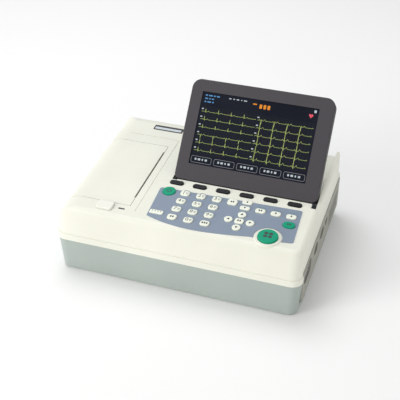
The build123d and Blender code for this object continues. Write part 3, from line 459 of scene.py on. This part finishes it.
def add_picture():
    centre, half_x, half_y = face_frame("lcd_module", SCREEN_N, SCREEN_UP)
    wide, tall = half_x / MM, half_y / MM
    pad = Pad(centre, SCREEN_UP, SCREEN_N)
    glows = {name: glowing(name + "_glow", colour, strength) for name, colour, strength in GLOWS}
    rng = random.Random(4)
    top = tall - HEAD_TALL
    row_pitch = (2 * tall - HEAD_TALL - TABS_TALL) / LEADS
    columns = ((-wide + 3, -1), (1, wide - 3))
    tab_middles = [-wide + (i + 0.5) * 2 * wide / TAB_COUNT for i in range(TAB_COUNT)]

    def mark(bm, x, y, width, height, radius, steps, high=MARK_HIGH, low=0.0):
        prism(bm, pad, rounded(x, y, width, height, radius, steps), low, high)

    def traces(bm):
        for column, (x0, x1) in enumerate(columns):
            for row in range(LEADS):
                y0 = top - row_pitch * (row + BASELINE)
                size = COLUMN_GAINS[column] * rng.uniform(0.75, 1.15)
                waves = INVERTED_BEAT if (column, row) in INVERTED_LEADS else BEAT
                shift = rng.uniform(0, 0.04)
                points = []
                for i in range(TRACE_STEPS + 1):
                    x = x0 + (x1 - x0) * i / TRACE_STEPS
                    phase = ((x - x0) / BEAT_LENGTH + shift) % 1.0
                    points.append((x, y0 + beat(phase, size, waves)))
                ribbon(bm, pad, points, TRACE_LINE, 0.0, TRACE_HIGH)

    def grid(bm):
        for i in range(1, GRID_COLUMNS):
            x = -wide + i * 2 * wide / GRID_COLUMNS
            ribbon(bm, pad, [(x, -tall + TABS_TALL), (x, top)], GRID_LINE, 0.0, GRID_HIGH)
        for i in range(GRID_ROWS + 1):
            y = -tall + TABS_TALL + i * (top + tall - TABS_TALL) / GRID_ROWS
            ribbon(bm, pad, [(-wide + 1, y), (wide - 1, y)], GRID_LINE, 0.0, GRID_HIGH)

    def labels(bm):
        for x0, _ in columns:
            for row in range(LEADS):
                y0 = top - row_pitch * (row + BASELINE)
                mark(bm, x0 + 0.8, y0 + 3.4, 2.6, 1.5, 0.4, 2, LABEL_HIGH)
        for i, length in enumerate(HEAD_WORDS):
            mark(bm, -wide + 37 + 5 * i, tall - 4.0, length, 1.3, 0.4, 2)
        mark(bm, wide - 4.5, tall - 3.6, 3.0, 3.4, 0.7, 3)

    def blue_marks(bm):
        line_pitch, word_gap = 4.2, 1.5
        for line, words in enumerate(BLUE_LINES):
            x = -wide + 4
            for length in words:
                mark(bm, x + length / 2, tall - 4 - line_pitch * line, length, 1.7, 0.5, 2)
                x += length + word_gap

    def orange_marks(bm):
        for i in range(3):
            mark(bm, 2 + 5.2 * i, tall - 8, 3.4, 5.4, 0.8, 3, TRACE_HIGH)
        mark(bm, -6, tall - 6, 5.0, 1.6, 0.5, 2, TRACE_HIGH)

    def red_marks(bm):
        x, y, lobe = wide - 9, tall - 9, 1.5
        for side in (-1, 1):
            arc = [(x + side * 1.25 + lobe * math.cos(a), y + lobe * math.sin(a))
                   for a in np.linspace(0, 2 * math.pi, 17)[:-1]]
            prism(bm, pad, arc, 0.0, TRACE_HIGH + 0.01 * side)
        prism(bm, pad, [(x - 2.6, y - 0.6), (x + 2.6, y - 0.6), (x, y - 3.6)], 0.0, HEART_HIGH)

    def tabs(bm):
        for x in tab_middles:
            edge = rounded(x, -tall + 6.2, 2 * wide / TAB_COUNT - 3.6, 8.2, 1.8, 4)
            ribbon(bm, pad, edge + edge[:2], 0.5, 0.0, MARK_HIGH)

    def tab_marks(bm):
        for x in tab_middles:
            for j, length in enumerate(TAB_WORDS):
                mark(bm, x - 7.5 + 4.6 * j, -tall + 6.6, length, 2.6, 0.6, 3, TAB_MARK_HIGH, low=0.035)

    for name, glow, maker in (("screen_traces", "trace", traces), ("screen_grid", "grid", grid),
                              ("screen_labels", "label", labels), ("screen_blue_marks", "blue", blue_marks),
                              ("screen_rate_marks", "orange", orange_marks),
                              ("screen_heart", "red", red_marks),
                              ("screen_tabs", "tab", tabs), ("screen_tab_marks", "label", tab_marks)):
        add_piece(name, "display", glows[glow], maker)


# ---------------------------------------------------------------- printed and small fixed pieces
# places on the deck are X, Y in millimetres, and heights are over the keypad overlay
OVERLAY_RISE = 0.5                      # the overlay stands this far over the bare deck
STATUS_PLACE, STATUS_SIZE = (-32.1, -90.3), (17.0, 7.0)
LAMP_COUNT, LAMP_PITCH, LAMP_SIZE = 4, 3.6, 1.5
BADGE_PLACE, BADGE_SIZE, STRIPE_SIZE = (-82.0, 88.0), (42.0, 11.0), (38.0, 5.0)
DOOR_MARK_PLACE, DOOR_MARK_SIZE = (-75.7, -95.7), (8.6, 2.6)
# captions behind keys: the keys, how far behind, and a caption's width, depth and corner radius
CAPTIONS = ((("key_speed", "key_filter", "key_copy"), 7.6, 9.5, 1.3, 0.5),
            (("key_1", "key_2", "key_3"), 7.0, 6.0, 0.9, 0.4))


def deck_pad(x, y):
    """Pad on the overlay's height at X, Y in millimetres, found from the overlay itself."""
    centre, _, _ = face_frame("keypad_overlay", DECK_N, DECK_UP)
    height = centre.dot(DECK_N)
    rise = (y * MM + DECK_N.y * -height) / DECK_UP.y
    return Pad(ACROSS * (x * MM) + DECK_UP * rise + DECK_N * height, DECK_UP, DECK_N)


def add_trim():
    def status_bar(bm):
        prism(bm, deck_pad(*STATUS_PLACE), rounded(0, 0, *STATUS_SIZE, 1.6), -0.3, 1.1)
    add_piece("status_window", "base", MATERIALS["key_cream"], status_bar, bevel=0.0004)

    def status_marks(bm):
        for i in range(LAMP_COUNT):
            x = (i - (LAMP_COUNT - 1) / 2) * LAMP_PITCH
            prism(bm, deck_pad(*STATUS_PLACE), rounded(x, 1.4, LAMP_SIZE, LAMP_SIZE, 0.7, 3), 1.0, 1.14)
    add_piece("status_lamps", "base", LEGEND, status_marks)

    def badge(bm):
        prism(bm, deck_pad(*BADGE_PLACE), rounded(0, 0, *BADGE_SIZE, 1.4), -OVERLAY_RISE - 0.2, 0.1)
    # the badge plate uses the display plastic, so its edges also get that material's painted shade
    add_piece("badge_plate", "base", MATERIALS["display_dark"], badge, bevel=0.0003)

    def badge_stripe(bm):
        prism(bm, deck_pad(*BADGE_PLACE), rounded(0, -1.4, *STRIPE_SIZE, 0.8), 0.05, 0.16)
    add_piece("badge_stripe", "base", PALE_PRINT, badge_stripe)

    def door_mark(bm):
        outline = rounded(0, 0, *DOOR_MARK_SIZE, 1.2)
        prism(bm, deck_pad(*DOOR_MARK_PLACE), outline, -OVERLAY_RISE - 0.2, -OVERLAY_RISE + 0.05)
    add_piece("door_mark", "base", LEGEND, door_mark)

    def key_captions(bm):
        for nodes, behind, width, depth, radius in CAPTIONS:
            for node in nodes:
                centre, _, _ = face_frame(node, DECK_N, DECK_UP)
                pad = deck_pad(centre.x / MM, centre.y / MM)
                prism(bm, pad, rounded(0, behind, width, depth, radius, 2), -0.1, 0.03)
    caption_print = moulded("caption_print", (0.14, 0.24, 0.29), 0.4, depth=0.00001)
    add_piece("overlay_captions", "base", caption_print, key_captions)


# ---------------------------------------------------------------- stage, light and camera
STAGE_HALF = 4.0
FLOOR_COLOUR, FLOOR_HAZE = (0.93, 0.93, 0.93), (0.92, 0.92, 0.925)
WORLD_STRENGTH = 0.54
LIT_POINT = (0, 0, 0.08)
# each light's name, place, width, power and colour
SOFTBOXES = (("key_softbox", (-1.45, -1.55, 0.75), 1.0, 26, (1.0, 0.99, 0.94)),
             ("top_softbox", (-0.5, 0.5, 1.8), 1.2, 15, (0.97, 0.99, 1.0)),
             ("right_softbox", (1.7, -0.5, 0.6), 0.8, 4, (1.0, 0.94, 0.84)))

CAMERA_PLACE = (0.2887, -0.8737, 0.6938)
CAMERA_PITCH = math.radians(34.56)
CAMERA_YAW = math.radians(18.66)
CAMERA_LENS, SENSOR_WIDTH = 76.6, 36.0
CLIP_START = 0.01


def add_stage():
    bm = bmesh.new()
    corners = [bm.verts.new((x * STAGE_HALF, y * STAGE_HALF, 0.0))
               for x, y in ((-1, -1), (1, -1), (1, 1), (-1, 1))]
    bm.faces.new(corners)
    mesh = bpy.data.meshes.new("floor")
    bm.to_mesh(mesh)
    bm.free()
    floor = bpy.data.objects.new("floor", mesh)
    bpy.context.scene.collection.objects.link(floor)
    material, tree, surface = shader("floor_paper", FLOOR_COLOUR, 0.85)
    haze = noise(tree, 3, 2)
    tree.links.new(blend_colour(tree, remap(tree, haze, 0, 1), FLOOR_COLOUR, FLOOR_HAZE),
                   surface.inputs["Base Color"])
    mesh.materials.append(material)


def add_light(name, place, size, power, colour):
    """Square softbox aimed at the middle of the object."""
    light = bpy.data.lights.new(name, "AREA")
    light.shape = "SQUARE"
    light.size = size
    light.energy = power
    light.color = colour
    holder = bpy.data.objects.new(name, light)
    holder.location = place
    holder.rotation_euler = (Vector(LIT_POINT) - Vector(place)).to_track_quat("-Z", "Y").to_euler()
    bpy.context.scene.collection.objects.link(holder)


def add_lights():
    world = bpy.data.worlds.new("studio")
    world.use_nodes = True
    background = world.node_tree.nodes["Background"]
    background.inputs["Color"].default_value = (1.0, 1.0, 1.0, 1)
    background.inputs["Strength"].default_value = WORLD_STRENGTH
    bpy.context.scene.world = world
    bpy.context.scene.view_settings.view_transform = "Standard"
    for name, place, size, power, colour in SOFTBOXES:
        add_light(name, place, size, power, colour)


def add_camera():
    data = bpy.data.cameras.new("camera")
    data.lens = CAMERA_LENS
    data.sensor_width = SENSOR_WIDTH
    data.clip_start = CLIP_START
    camera = bpy.data.objects.new("camera", data)
    camera.location = CAMERA_PLACE
    camera.rotation_euler = (math.pi / 2 - CAMERA_PITCH, 0, CAMERA_YAW)
    bpy.context.scene.collection.objects.link(camera)
    bpy.context.scene.camera = camera


add_camera()
add_legends()
add_picture()
add_trim()
add_stage()
add_lights()
